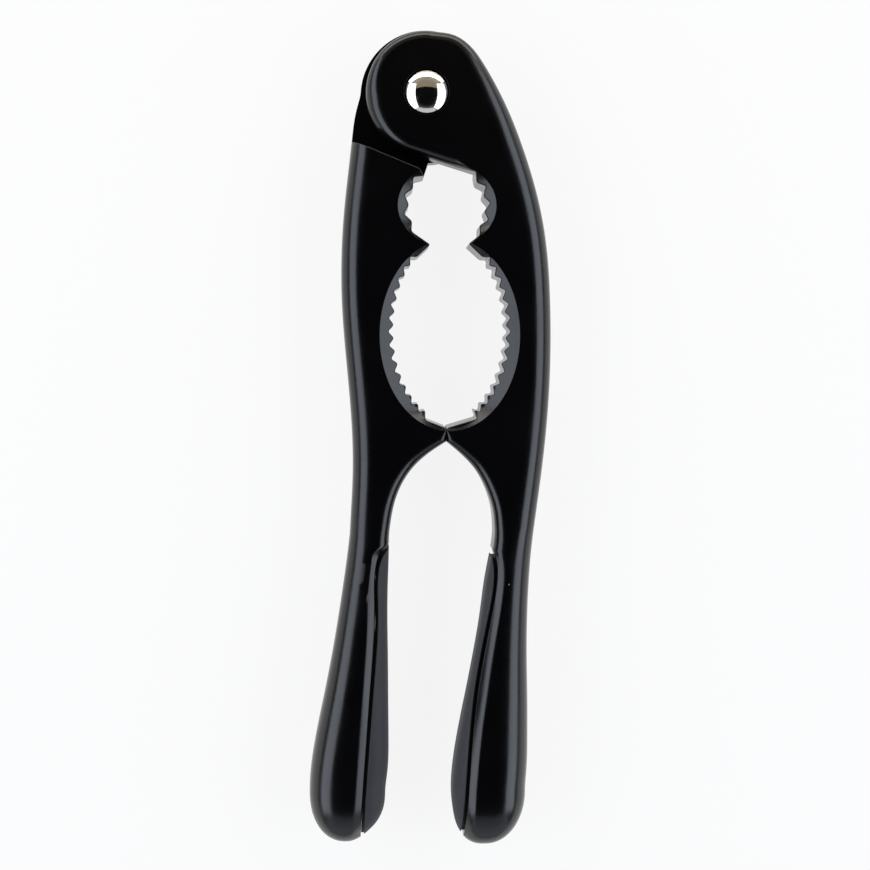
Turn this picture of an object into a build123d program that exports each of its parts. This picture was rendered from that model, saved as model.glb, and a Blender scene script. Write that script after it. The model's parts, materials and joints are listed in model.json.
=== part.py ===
"""Lever nut cracker: two toothed arms that turn on one rivet, with soft grip inserts in the handles.

Frame, in millimetres: the origin is on the pivot axis, in the plane that the cracker lies on.
+Z is up through the rivet's domed head, +Y points from the handles to the pivot, +X to the right arm.
The arms are closed. MID is the height of the plane between the two lugs that lap at the pivot.
"""
from build123d import *
import math
import os

# --- thicknesses and rounding ---------------------------------------------------------------
JAW_THICKNESS = 13.0        # both arms, from the lugs down to the neck
EDGE_ROUND = 4.0            # outer flank and lug edges
ARCH_ROUND = 3.0            # edges of the arch under the nose
HANDLE_DEPTH = 17.0         # thickest place of the handle bulbs, which the cracker lies on
SKIN_SWELL = 0.02           # the handle's skin swells this much between its sections
MID = HANDLE_DEPTH / 2
BULB_HALF = HANDLE_DEPTH / 2 - SKIN_SWELL
HALF = JAW_THICKNESS / 2

# --- pivot ----------------------------------------------------------------------------------
LEFT_LUG_RADIUS = 15.7      # the rear lug, which shows a little past the front one
RIGHT_LUG_RADIUS = 14.4     # the front lug
LEFT_STEP_GAP = 2.7         # from the front lug's round edge to the left arm's step
RIGHT_STEP_GAP = 1.4        # from the rear lug's round edge to the right arm's step
LEFT_STEP_ANGLE = 247.8     # direction from the pivot square to the left arm's front step, degrees
RIGHT_STEP_ANGLE = 280.0    # the same for the right arm's rear step
RIGHT_STEP_CORNER = (0.2, -0.5)  # the step's inner corner, from where the right jaw's teeth begin
LEFT_STEP_CORNER = -1.0     # where the left step turns to the first tooth, from that tooth across
LAP_WASHER_THICKNESS = 0.5
LAP_WASHER_DIAMETER = 14.0
RUNNING_PLAY = 0.1          # between faces that turn against each other
SHANK_DIAMETER = 5.0
SHANK_PLAY = 0.05           # radial, in the left arm, which turns on the shank
SHANK_SEAT_PLAY = 0.02      # radial, in the pieces that stay with the shank
HEAD_DIAMETER = 9.8
HEAD_RIM = 0.5              # straight rim under the dome
HEAD_DOME = 1.9             # height of the dome above the rim
HEAD_RECESS_DEPTH = 0.6     # recess in the front lug that the head sits in
HEAD_RECESS_PLAY = 0.4      # radial, the dark ring round the head
REAR_WASHER_THICKNESS = 0.8
REAR_WASHER_DIAMETER = 10.4
TAIL_DIAMETER = 8.4
TAIL_CHAMFER = 0.3

# --- toothed holes --------------------------------------------------------------------------
TOOTH_DEPTH = 1.4
LARGE_HOLE_CENTRE = (5.55, -56.0)
LARGE_HOLE_RX = 13.4        # to the tooth tips, across
LARGE_HOLE_RY = 21.4        # to the tooth tips, along
LARGE_TEETH = 15            # tips in each arm
LARGE_FIRST_ANGLE = 54.0    # ellipse parameter of the first and last tip, from +X, degrees
LARGE_LAST_ANGLE = -64.0
SMALL_HOLE_CENTRE = (4.85, -26.5)
SMALL_HOLE_RADIUS = 9.0     # to the tooth tips
SMALL_TEETH = 4
SMALL_PITCH_RIGHT = 22.6    # degrees from tip to tip
SMALL_PITCH_LEFT = 25.0
SMALL_FIRST_RIGHT = 38.0    # direction of the first tip in each arm, degrees
SMALL_FIRST_LEFT = 128.0
DISH_DEPTH = 1.9            # bevels round both holes, on both faces
LARGE_DISH_ACROSS = 3.4     # width of the large hole's bevel, across and along the cracker
LARGE_DISH_ALONG = 1.5
LARGE_DISH_DROP = 1.3       # it lies this much nearer the handles than its hole
SMALL_DISH_ACROSS = 2.7
SMALL_DISH_ALONG = 0.8
LEFT_CUSP = (0.9, -35.7)    # between the two holes
RIGHT_CUSP = (9.95, -35.5)
NOSE_X = 4.75               # where the two noses meet
NOSE_GAP = 0.1
NOSE_TOP = -79.5
NOSE_BOTTOM = -82.9
LEFT_NOSE_START = (-0.3, -77.6)
RIGHT_NOSE_START = (12.2, -77.3)

# --- outlines, seen from the front ----------------------------------------------------------
NECK_Y = -104.0             # where the flat jaw ends and the handle begins
LEFT_FLANK = [(-18.7, NECK_Y), (-18.0, -90), (-18.85, -70), (-20.4, -50), (-20.0, -30)]
LEFT_LUG_START = 176.0      # where the shoulder runs into the lug, degrees
RIGHT_FLANK = [(26.7, NECK_Y), (28.5, -90), (30.2, -70), (30.3, -50), (28.4, -30), (24.4, -15)]
RIGHT_LUG_START = 85.0
# Between flank and lug each shoulder has a direction in degrees, and how far out of the lug's circle it is.
LEFT_SHOULDER = [(211.6, 5.3), (188.6, 1.0)]
RIGHT_SHOULDER = [(0.0, 3.7), (25.7, 1.2), (45.0, 0.95), (65.0, 0.7)]
LEFT_LUG_END = 272.0        # where the lug's circle gives way to its lower edge, degrees
RIGHT_LUG_END = 257.0
LEFT_ARCH = [(1.5, -85), (-3.9, -90), (-6.8, -95), (-8.3, -100), (-8.95, NECK_Y)]
RIGHT_ARCH = [(7.3, -85), (12.0, -90), (14.7, -95), (16.2, -100), (16.6, NECK_Y)]

# --- handles: y, outer side, inner side, half depth ------------------------------------------
LEFT_HANDLE = [(-109, -19.2, -9.2, 6.4), (-117, -20.3, -9.45, 6.45), (-127, -21.85, -9.6, 6.7),
               (-137, -23.6, -9.5, 7.2), (-147, -25.6, -9.45, 7.8), (-157, -27.65, -9.4, 8.25),
               (-165, -28.85, -9.7, BULB_HALF - 0.05), (-171, -29.15, -10.3, BULB_HALF)]
RIGHT_HANDLE = [(-109, 26.15, 16.3, 6.4), (-117, 25.55, 14.8, 6.45), (-127, 25.15, 13.4, 6.7),
                (-137, 25.1, 11.7, 7.2), (-147, 25.3, 9.8, 7.8), (-157, 25.36, 7.9, 8.25),
                (-165, 25.2, 6.7, BULB_HALF - 0.05), (-171, 24.85, 6.3, BULB_HALF)]
# Below the last station each side closes to the tip as a power of a quarter circle's cosine.
LEFT_TIP = (-19.7, -183.6)
RIGHT_TIP = (14.9, -184.85)
LEFT_FULLNESS = (0.8, 1.2, 0.8)     # power for the outer side, the inner side and the depth
RIGHT_FULLNESS = (0.95, 0.62, 0.8)
TIP_ANGLES = (16, 32, 46, 58, 68, 76)
HANDLE_OUTER_ROUND = 8.0    # largest corner radius of the handle's outer side
HANDLE_INNER_ROUND = 6.0
LEAST_FLAT = 0.3            # straight stretch left between two corners of a section
LEAST_ROUND = 1.0           # smallest corner radius of the insert
ROUNDING_RUN = 40.0         # length below the neck in which the corners grow to the handle's radii
NECK_LEDGE = 0.06           # the handle's skin starts this much inside the jaw's

# --- grip inserts ----------------------------------------------------------------------------
LEFT_SEAM = [(-8.0, -107.3), (-10.9, -109.6), (-12.3, -113.5), (-12.6, -123), (-13.7, -143),
             (-15.0, -160), (-15.8, -171), (-16.6, -185)]
RIGHT_SEAM = [(14.2, -107.3), (16.5, -110.2), (17.2, -114.5), (16.1, -124), (12.6, -143.5),
              (10.8, -160), (10.1, -170), (8.9, -186)]
SEAM_WIDTH = 0.7            # dark groove between handle and insert
SEAM_END_GAP = 0.4          # the same along the handle, at the insert's upper end
GRIP_INSET = 0.6            # the insert lies this much lower than the handle, front and back
TONGUE_THICKNESS = 5.0      # rib on the insert's back, glued in a slot of the handle
TONGUE_LENGTH = 2.5         # how far it reaches into the handle past the seam
TONGUE_TOP = -118.0
TONGUE_BOTTOM = -170.0
SLOT_PLAY = 0.05            # round the tongue, which seats on the slot's floor

FAR = 60.0                  # beyond the arms, for cutting tools


def on_circle(centre, radius, degrees):
    a = math.radians(degrees)
    return (centre[0] + radius * math.cos(a), centre[1] + radius * math.sin(a))


def on_ellipse(centre, rx, ry, degrees):
    a = math.radians(degrees)
    return (centre[0] + rx * math.cos(a), centre[1] + ry * math.sin(a))


def teeth(centre, rx, ry, first, last, count):
    """Tips on the ellipse at equal steps of its parameter, with a valley before each and after the last."""
    half_step = (last - first) / (count - 1) / 2
    points = []
    for i in range(-1, 2 * count):
        grow = 0 if i % 2 == 0 else TOOTH_DEPTH
        points.append(on_ellipse(centre, rx + grow, ry + grow, first + i * half_step))
    return points


def tooth_line(side):
    """The toothed edge of one jaw, from the lug down to the nose, as corner points."""
    right = side > 0
    small_first = SMALL_FIRST_RIGHT if right else SMALL_FIRST_LEFT
    small_pitch = -SMALL_PITCH_RIGHT if right else SMALL_PITCH_LEFT
    small_last = small_first + small_pitch * (SMALL_TEETH - 1)
    small = teeth(SMALL_HOLE_CENTRE, SMALL_HOLE_RADIUS, SMALL_HOLE_RADIUS, small_first, small_last,
                  SMALL_TEETH)
    if not right:
        small = small[1:]   # the left jaw starts on a tip, at the corner of its step
    large_first = LARGE_FIRST_ANGLE if right else 180 - LARGE_FIRST_ANGLE
    large_last = LARGE_LAST_ANGLE if right else 180 - LARGE_LAST_ANGLE
    large = teeth(LARGE_HOLE_CENTRE, LARGE_HOLE_RX, LARGE_HOLE_RY, large_first, large_last, LARGE_TEETH)[1:-1]
    cusp = RIGHT_CUSP if right else LEFT_CUSP
    nose = RIGHT_NOSE_START if right else LEFT_NOSE_START
    face = NOSE_X + side * NOSE_GAP / 2
    return small + [cusp] + large + [nose, (face, NOSE_TOP), (face, NOSE_BOTTOM)]


def round_edges(solid, outline, rounding):
    """Rounds the front and rear edges of an extruded plate that lie over the given outline edges."""
    marks = [e.center() for e in outline]
    found = []
    for e in solid.edges():
        box = e.bounding_box()
        if box.size.Z > 0.01:
            continue
        c = e.center()
        if any(math.hypot(c.X - m.X, c.Y - m.Y) < 0.01 for m in marks):
            found.append(e)
    return fillet(found, min(rounding, HALF - LEAST_FLAT))


def jaw_plate(side):
    """The flat part of an arm, full thickness: flank, lug, toothed edge, nose and arch."""
    right = side > 0
    straight, shoulder = (RIGHT_FLANK, RIGHT_SHOULDER) if right else (LEFT_FLANK, LEFT_SHOULDER)
    lug_radius = RIGHT_LUG_RADIUS if right else LEFT_LUG_RADIUS
    flank_points = straight + [on_circle((0, 0), lug_radius + out, degrees) for degrees, out in shoulder]
    lug_start = RIGHT_LUG_START if right else LEFT_LUG_START
    turn = -side            # the lug's circle is walked towards the other arm
    lug_end = RIGHT_LUG_END if right else LEFT_LUG_END
    start_point = on_circle((0, 0), lug_radius, lug_start)
    end_point = on_circle((0, 0), lug_radius, lug_end)
    travel = (lug_end - lug_start) % 360 if right else -((lug_start - lug_end) % 360)
    middle_point = on_circle((0, 0), lug_radius, lug_start + travel / 2)
    tangent_angle = math.radians(lug_start - turn * 90)
    line = tooth_line(side)
    arch_points = [line[-1]] + (RIGHT_ARCH if right else LEFT_ARCH)

    flank = Edge.make_spline([Vector(*p) for p in flank_points + [start_point]],
                             tangents=[Vector(flank_points[1][0] - flank_points[0][0],
                                              flank_points[1][1] - flank_points[0][1]),
                                       Vector(math.cos(tangent_angle), math.sin(tangent_angle))])
    lug = Edge.make_three_point_arc(Vector(*start_point), Vector(*middle_point), Vector(*end_point))
    lug_edge = Edge.make_line(Vector(*end_point), Vector(*line[0]))
    toothed = [Edge.make_line(Vector(*a), Vector(*b)) for a, b in zip(line, line[1:])]
    arch = Edge.make_spline([Vector(*p) for p in arch_points])
    neck = Edge.make_line(Vector(*arch_points[-1]), Vector(*flank_points[0]))
    face = Face(Wire([flank, lug, lug_edge] + toothed + [arch, neck]))
    if face.normal_at().Z < 0:
        face = -face
    plate = extrude(face, JAW_THICKNESS, dir=(0, 0, 1)).moved(Location((0, 0, MID - HALF)))
    # the left lug's lower edge stands behind the right lug and stays sharp
    plate = round_edges(plate, [flank, lug, lug_edge] if right else [flank, lug], EDGE_ROUND)
    return round_edges(plate, [arch], ARCH_ROUND)


def step_y(x, side):
    """Height at x of an arm's step line, which stays clear of the other arm's lug."""
    distance = LEFT_LUG_RADIUS + RIGHT_STEP_GAP if side > 0 else RIGHT_LUG_RADIUS + LEFT_STEP_GAP
    a = math.radians(RIGHT_STEP_ANGLE if side > 0 else LEFT_STEP_ANGLE)
    return (distance - x * math.cos(a)) / math.sin(a)


def lap_cut(side):
    """What is taken off an arm at the pivot, so that the other arm's lug lies there."""
    line = tooth_line(side)
    if side > 0:
        corner_x = line[0][0] + RIGHT_STEP_CORNER[0]
        corner_y = line[0][1] + RIGHT_STEP_CORNER[1]
        points = [(FAR, step_y(FAR, side)), (corner_x, step_y(corner_x, side)),
                  (corner_x, corner_y), (-FAR, corner_y), (-FAR, FAR), (FAR, FAR)]
        low, high = -FAR, MID + LAP_WASHER_THICKNESS / 2 + RUNNING_PLAY / 2
    else:
        corner_x = line[0][0] + LEFT_STEP_CORNER
        points = [(-FAR, step_y(-FAR, side)), (corner_x, step_y(corner_x, side)),
                  line[0], (FAR, line[0][1]), (FAR, FAR), (-FAR, FAR)]
        low, high = MID - LAP_WASHER_THICKNESS / 2 - RUNNING_PLAY / 2, FAR
    tool = extrude(make_face(Polyline(*points, close=True)), high - low, dir=(0, 0, 1))
    return tool.moved(Location((0, 0, low)))


def dishes():
    """Bevels round both toothed holes, cut from the front and from the rear."""
    tools = []
    large = (LARGE_HOLE_CENTRE[0], LARGE_HOLE_CENTRE[1] - LARGE_DISH_DROP)
    for centre, rx, ry, across, along in [
            (large, LARGE_HOLE_RX, LARGE_HOLE_RY, LARGE_DISH_ACROSS, LARGE_DISH_ALONG),
            (SMALL_HOLE_CENTRE, SMALL_HOLE_RADIUS, SMALL_HOLE_RADIUS, SMALL_DISH_ACROSS, SMALL_DISH_ALONG)]:
        for front in (1, -1):
            near = Location((centre[0], centre[1], MID + front * (HALF - DISH_DEPTH)))
            top = Location((centre[0], centre[1], MID + front * HALF))
            tools.append(loft([near * ellipse_face(rx, ry), top * ellipse_face(rx + across, ry + along)]))
    return tools


def ellipse_face(rx, ry):
    if abs(rx - ry) < 1e-6:
        return Face(Wire([Edge.make_circle(rx)]))
    plane = Plane.XY if rx > ry else Plane(origin=(0, 0, 0), x_dir=(0, 1, 0), z_dir=(0, 0, 1))
    return Face(Wire([Edge.make_ellipse(max(rx, ry), min(rx, ry), plane=plane)]))


def section(y, outer, inner, half, outer_round, inner_round):
    """A rounded rectangle across the handle at one y, from its outer to its inner side."""
    s = math.copysign(1, inner - outer)
    widest = abs(inner - outer) - LEAST_FLAT
    ro = min(outer_round, half - LEAST_FLAT, widest * outer_round / (outer_round + inner_round))
    ri = min(inner_round, half - LEAST_FLAT, widest - ro)
    q = 1 - math.sqrt(0.5)

    def p(x, z):
        return Vector(x, y, MID + z)

    edges = []
    for z in (1, -1):
        outer_arc = Edge.make_three_point_arc(p(outer, z * (half - ro)),
                                              p(outer + s * q * ro, z * (half - q * ro)),
                                              p(outer + s * ro, z * half))
        flat = Edge.make_line(p(outer + s * ro, z * half), p(inner - s * ri, z * half))
        inner_arc = Edge.make_three_point_arc(p(inner - s * ri, z * half),
                                              p(inner - s * q * ri, z * (half - q * ri)),
                                              p(inner, z * (half - ri)))
        edges.append([outer_arc, flat, inner_arc])
    inner_side = Edge.make_line(p(inner, half - ri), p(inner, ri - half))
    outer_side = Edge.make_line(p(outer, ro - half), p(outer, half - ro))
    return Wire(edges[0] + [inner_side] + edges[1][::-1] + [outer_side])


def handle_stations(side):
    """All sections of one handle, from the neck down: y, outer, inner, half depth, two corner radii."""
    right = side > 0
    flank, arch = (RIGHT_FLANK, RIGHT_ARCH) if right else (LEFT_FLANK, LEFT_ARCH)
    neck = (NECK_Y, flank[0][0] - side * NECK_LEDGE, arch[-1][0] + side * NECK_LEDGE, HALF - NECK_LEDGE)
    stations = [neck] + (RIGHT_HANDLE if right else LEFT_HANDLE)
    tip_x, tip_y = RIGHT_TIP if right else LEFT_TIP
    outer_power, inner_power, depth_power = RIGHT_FULLNESS if right else LEFT_FULLNESS
    last_y, last_outer, last_inner, last_half = stations[-1]
    for degrees in TIP_ANGLES:
        c, s = math.cos(math.radians(degrees)), math.sin(math.radians(degrees))
        stations.append((last_y + (tip_y - last_y) * s, tip_x + (last_outer - tip_x) * c ** outer_power,
                         tip_x + (last_inner - tip_x) * c ** inner_power, last_half * c ** depth_power))
    made = []
    for y, outer, inner, half in stations:
        share = min(1, (NECK_Y - y) / ROUNDING_RUN)
        made.append((y, outer, inner, half,
                     EDGE_ROUND + share * (HANDLE_OUTER_ROUND - EDGE_ROUND),
                     ARCH_ROUND + share * (HANDLE_INNER_ROUND - ARCH_ROUND)))
    return made


def handle(side, inset=0.0):
    """The handle as if it were one piece with its insert, or lowered by inset for the insert."""
    wires = [section(y, outer, inner, half - inset, max(ro - inset, LEAST_ROUND), max(ri - inset, LEAST_ROUND))
             for y, outer, inner, half, ro, ri in handle_stations(side)]
    return Solid.make_loft(wires)


def beyond_seam(side, shift_x=0.0, shift_y=0.0):
    """The face on the finger side of the seam, moved away from the seam by the shifts."""
    seam = RIGHT_SEAM if side > 0 else LEFT_SEAM
    far_x = -side * FAR
    curve = Edge.make_spline([Vector(*p) for p in seam])
    corners = [seam[-1], (far_x, seam[-1][1]), (far_x, seam[0][1]), seam[0]]
    lines = [Edge.make_line(Vector(*a), Vector(*b)) for a, b in zip(corners, corners[1:])]
    return Face(Wire([curve] + lines)).moved(Location((-side * shift_x, shift_y, 0)))


def slab(face, thickness):
    """The face carried through thickness, half to each side of the middle plane."""
    if face.normal_at().Z < 0:
        face = -face
    return extrude(face, thickness, dir=(0, 0, 1)).moved(Location((0, 0, MID - thickness / 2)))


def tongue(side, play=0.0):
    """The rib behind the seam, or with play the slot for it. Both end on the same floor."""
    length = TONGUE_TOP - TONGUE_BOTTOM + 2 * play
    band = Box(2 * FAR, length, TONGUE_THICKNESS + 2 * play).moved(
        Location((0, (TONGUE_TOP + TONGUE_BOTTOM) / 2, MID)))
    floor = slab(beyond_seam(side, -TONGUE_LENGTH, 0), HANDLE_DEPTH)
    past_seam = slab(beyond_seam(side, SEAM_WIDTH, 0), HANDLE_DEPTH)
    return (floor & band) - past_seam


def arm(side):
    """One arm: jaw plate and handle in one casting, with lap, bore, bevels, insert pocket and slot."""
    body = jaw_plate(side) + handle(side)
    body -= lap_cut(side)
    for tool in dishes():
        body -= tool
    body -= slab(beyond_seam(side), 2 * FAR)
    body -= tongue(side, SLOT_PLAY)
    play = SHANK_SEAT_PLAY if side > 0 else SHANK_PLAY
    body -= Cylinder(SHANK_DIAMETER / 2 + play, 2 * FAR)
    if side > 0:
        body -= disc(HEAD_DIAMETER / 2 + HEAD_RECESS_PLAY, MID + HALF - HEAD_RECESS_DEPTH, FAR)
    return body


def disc(radius, low, high):
    return Cylinder(radius, high - low).moved(Location((0, 0, (low + high) / 2)))


def grip(side):
    """The soft insert: the finger side of the handle's section, a little lower, with its tongue."""
    skin = handle(side, GRIP_INSET) & slab(beyond_seam(side, SEAM_WIDTH, -SEAM_END_GAP), 2 * FAR)
    return skin + tongue(side)


def rivet():
    """Domed head, shank and the tail that was upset over the rear washer."""
    seat = MID + HALF - HEAD_RECESS_DEPTH
    rim = seat + HEAD_RIM
    r = HEAD_DIAMETER / 2
    tail_top = REAR_WASHER_LOW
    profile = [
        Edge.make_line(Vector(0, 0, 0), Vector(TAIL_DIAMETER / 2 - TAIL_CHAMFER, 0, 0)),
        Edge.make_line(Vector(TAIL_DIAMETER / 2 - TAIL_CHAMFER, 0, 0),
                       Vector(TAIL_DIAMETER / 2, 0, TAIL_CHAMFER)),
        Edge.make_line(Vector(TAIL_DIAMETER / 2, 0, TAIL_CHAMFER), Vector(TAIL_DIAMETER / 2, 0, tail_top)),
        Edge.make_line(Vector(TAIL_DIAMETER / 2, 0, tail_top), Vector(SHANK_DIAMETER / 2, 0, tail_top)),
        Edge.make_line(Vector(SHANK_DIAMETER / 2, 0, tail_top), Vector(SHANK_DIAMETER / 2, 0, seat)),
        Edge.make_line(Vector(SHANK_DIAMETER / 2, 0, seat), Vector(r, 0, seat)),
        Edge.make_line(Vector(r, 0, seat), Vector(r, 0, rim)),
        Edge.make_three_point_arc(Vector(r, 0, rim), dome_point(rim, r), Vector(0, 0, rim + HEAD_DOME)),
        Edge.make_line(Vector(0, 0, rim + HEAD_DOME), Vector(0, 0, 0)),
    ]
    return revolve(Face(Wire(profile)), Axis.Z, 360)


def dome_point(rim, r):
    """Halfway up the arc of the dome, whose sphere is set by its base radius and height."""
    sphere = (r ** 2 + HEAD_DOME ** 2) / (2 * HEAD_DOME)
    half_angle = math.asin(r / sphere) / 2
    centre = rim + HEAD_DOME - sphere
    return Vector(sphere * math.sin(half_angle), 0, centre + sphere * math.cos(half_angle))


def washer(diameter, low, high):
    return disc(diameter / 2, low, high) - disc(SHANK_DIAMETER / 2 + SHANK_SEAT_PLAY, low, high)


REAR_WASHER_HIGH = MID - HALF - RUNNING_PLAY
REAR_WASHER_LOW = REAR_WASHER_HIGH - REAR_WASHER_THICKNESS
LAP_WASHER_HIGH = MID + LAP_WASHER_THICKNESS / 2 + RUNNING_PLAY / 2
LAP_WASHER_LOW = LAP_WASHER_HIGH - LAP_WASHER_THICKNESS

LEFT, RIGHT = -1, 1
nodes = {
    "left_arm": arm(LEFT),
    "right_arm": arm(RIGHT),
    "left_grip_insert": grip(LEFT),
    "right_grip_insert": grip(RIGHT),
    "pivot_rivet": rivet(),
    "lap_washer": washer(LAP_WASHER_DIAMETER, LAP_WASHER_LOW, LAP_WASHER_HIGH),
    "rear_washer": washer(REAR_WASHER_DIAMETER, REAR_WASHER_LOW, REAR_WASHER_HIGH),
}

os.makedirs("parts", exist_ok=True)
for name, solid in nodes.items():
    export_step(solid, f"parts/{name}.step")
    box = solid.bounding_box()
    print(name, "solids", len(solid.solids()), "volume", round(solid.volume, 1),
          "size", [round(v, 2) for v in (box.size.X, box.size.Y, box.size.Z)], "valid", solid.is_valid)
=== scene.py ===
# %% [markdown]
# # A lever nut cracker, lying on a white table
# The real tool has two black die-cast arms that turn on one rivet. The jaws have two toothed holes, one
# for walnuts and one for hazelnuts, and the handles swell to bulbs with a soft insert on the finger side.
# We load the measured model first. Every piece that follows is placed from it, in metres.

# %% Load the measured model
import json
import math

import bmesh
import bpy
import numpy as np
from mathutils import Matrix, Vector
from mathutils.geometry import delaunay_2d_cdt


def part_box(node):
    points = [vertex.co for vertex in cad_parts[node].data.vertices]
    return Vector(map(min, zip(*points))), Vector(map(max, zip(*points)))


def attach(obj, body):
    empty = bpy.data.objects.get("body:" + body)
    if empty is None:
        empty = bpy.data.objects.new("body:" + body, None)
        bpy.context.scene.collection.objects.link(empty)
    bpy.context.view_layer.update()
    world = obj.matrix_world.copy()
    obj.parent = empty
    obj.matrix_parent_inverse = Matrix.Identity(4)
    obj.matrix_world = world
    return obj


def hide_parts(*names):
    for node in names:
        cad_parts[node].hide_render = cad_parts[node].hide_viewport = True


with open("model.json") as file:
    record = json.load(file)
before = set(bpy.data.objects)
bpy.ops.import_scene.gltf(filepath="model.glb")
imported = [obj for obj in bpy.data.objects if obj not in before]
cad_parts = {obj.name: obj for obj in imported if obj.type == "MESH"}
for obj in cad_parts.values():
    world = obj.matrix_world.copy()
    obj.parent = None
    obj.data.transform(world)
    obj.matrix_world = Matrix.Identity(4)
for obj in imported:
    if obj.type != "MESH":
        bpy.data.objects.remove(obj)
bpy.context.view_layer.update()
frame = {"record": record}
MM = 0.001

# %% [markdown]
# ## Small helpers for colours and nodes
# A colour is easiest to write as a hex value. Blender computes with linear light, so one function turns
# the one into the other. The others add shader nodes, so that each material below is a short list.

# %% Colours and shader nodes
SRGB_KNEE, SRGB_SLOPE, SRGB_OFFSET, SRGB_POWER = 0.04045, 12.92, 0.055, 2.4
NOISE_LOW, NOISE_HIGH = 0.3, 0.7    # nearly all values of a noise pattern lie between these


def linear(hex_colour):
    """Linear red, green and blue of an sRGB hex colour, with an alpha of 1."""
    shares = [int(hex_colour[i:i + 2], 16) / 255 for i in (1, 3, 5)]
    bent = [s / SRGB_SLOPE if s <= SRGB_KNEE else ((s + SRGB_OFFSET) / (1 + SRGB_OFFSET)) ** SRGB_POWER
            for s in shares]
    return (*bent, 1.0)


def add_node(tree, kind, settings=None, **sockets):
    """Adds a node. Settings are its own fields. A socket takes a plain value, or a link from an output."""
    node = tree.nodes.new(kind)
    for field, value in (settings or {}).items():
        setattr(node, field, value)
    for name, value in sockets.items():
        socket = node.inputs[int(name[1:])] if name[1:].isdigit() else node.inputs[name.replace("_", " ")]
        if isinstance(value, bpy.types.NodeSocket):
            tree.links.new(value, socket)
        else:
            socket.default_value = value
    return node


def new_material(name):
    """An empty node material with its output, and the Object coordinates that its patterns read."""
    material = bpy.data.materials.new(name)
    material.use_nodes = True
    tree = material.node_tree
    tree.nodes.clear()
    output = add_node(tree, "ShaderNodeOutputMaterial")
    place = add_node(tree, "ShaderNodeTexCoord").outputs["Object"]
    return material, tree, output, place


def noise(tree, place, scale, detail):
    return add_node(tree, "ShaderNodeTexNoise", Vector=place, Scale=scale, Detail=detail).outputs["Fac"]


def mapped(tree, value, low, high, begins=NOISE_LOW, ends=NOISE_HIGH):
    """A value that goes from low to high while the given one goes from begins to ends."""
    return add_node(tree, "ShaderNodeMapRange", Value=value, From_Min=begins, From_Max=ends,
                    To_Min=low, To_Max=high).outputs["Result"]


def blend(tree, share, first, second):
    return add_node(tree, "ShaderNodeMix", {"data_type": "RGBA"}, Factor=share,
                    _6=linear(first), _7=linear(second)).outputs[2]


def bump(tree, height, strength, millimetres):
    return add_node(tree, "ShaderNodeBump", Strength=strength, Distance=millimetres * MM,
                    Height=height).outputs[0]


def finish_with(tree, output, **sockets):
    surface = add_node(tree, "ShaderNodeBsdfPrincipled", **sockets)
    tree.links.new(surface.outputs[0], output.inputs["Surface"])


print("a mid grey in linear light", round(linear("#808080")[0], 3))

# %% [markdown]
# ## The camera
# The photograph was taken from above the tool, a little to its left and towards the handles, from so near
# that the inner walls of the teeth show. The camera's place was worked out from how the outline narrows
# with height. Blender's camera looks along its own -Z, so its axes are built from the line of sight.

# %% Camera
CAMERA_PLACE = Vector((-0.01003134, -0.05956356, 0.3045))
LINE_OF_SIGHT = Vector((0.04122992, -0.07421385, -0.99638968))
LENS, SENSOR = 50, 36

right = LINE_OF_SIGHT.cross(Vector((0, 1, 0))).normalized()
up = right.cross(LINE_OF_SIGHT).normalized()
camera_data = bpy.data.cameras.new("camera")
camera_data.lens = LENS
camera_data.sensor_width = SENSOR
camera_data.clip_start = 0.01
camera = bpy.data.objects.new("camera", camera_data)
bpy.context.collection.objects.link(camera)
axes = Matrix((right, up, -LINE_OF_SIGHT)).transposed()
camera.matrix_world = Matrix.Translation(CAMERA_PLACE) @ axes.to_4x4()
bpy.context.scene.camera = camera
print("camera is", round(CAMERA_PLACE.z, 3), "m above the table")

# %% [markdown]
# ## The table
# The photograph's ground is plain white, with hardly a shadow. More light would bleach the tool, so the
# table is given its white for the camera and for reflections alone. A share of plain lit white is left,
# so that the tool still leaves a soft shadow on it.

# %% Table
TABLE_REACH = 3.0
TABLE_GLOW = 0.88           # share of the table's white that doesn't depend on the lamps


def table_white():
    material, tree, output, _ = new_material("white_laminate_table")
    lit = add_node(tree, "ShaderNodeBsdfDiffuse", Color=linear("#f4f4f4"))
    glow = add_node(tree, "ShaderNodeEmission", Color=linear("#ffffff"), Strength=1.0)
    path = add_node(tree, "ShaderNodeLightPath")
    seen = add_node(tree, "ShaderNodeMath", {"operation": "MAXIMUM"},
                    _0=path.outputs["Is Camera Ray"], _1=path.outputs["Is Glossy Ray"])
    seen = add_node(tree, "ShaderNodeMath", {"operation": "MAXIMUM"},
                    _0=seen.outputs[0], _1=path.outputs["Is Transmission Ray"])
    share = add_node(tree, "ShaderNodeMath", {"operation": "MULTIPLY"}, _0=seen.outputs[0], _1=TABLE_GLOW)
    mixed = add_node(tree, "ShaderNodeMixShader",
                     _0=share.outputs[0], _1=lit.outputs[0], _2=glow.outputs[0])
    tree.links.new(mixed.outputs[0], output.inputs["Surface"])
    return material


table_mesh = bpy.data.meshes.new("table")
corners = [(-TABLE_REACH, -TABLE_REACH, 0), (TABLE_REACH, -TABLE_REACH, 0),
           (TABLE_REACH, TABLE_REACH, 0), (-TABLE_REACH, TABLE_REACH, 0)]
table_mesh.from_pydata(corners, [], [(0, 1, 2, 3)])
table = bpy.data.objects.new("table", table_mesh)
bpy.context.collection.objects.link(table)
table.data.materials.append(table_white())
print("table", table.dimensions[:])

# %% [markdown]
# ## Light
# Black paint shows its lamps and little else, so the lamps are placed by what the paint should mirror.
# Long panels to the left and right draw the soft lines along the handles and flanks. A far panel lights
# the lug's rim, and a warm card above it gives the rivet its beige. Straight up it stays dark, so that the
# flat faces stay black. The world gives a dim cool fill near the horizon.

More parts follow.
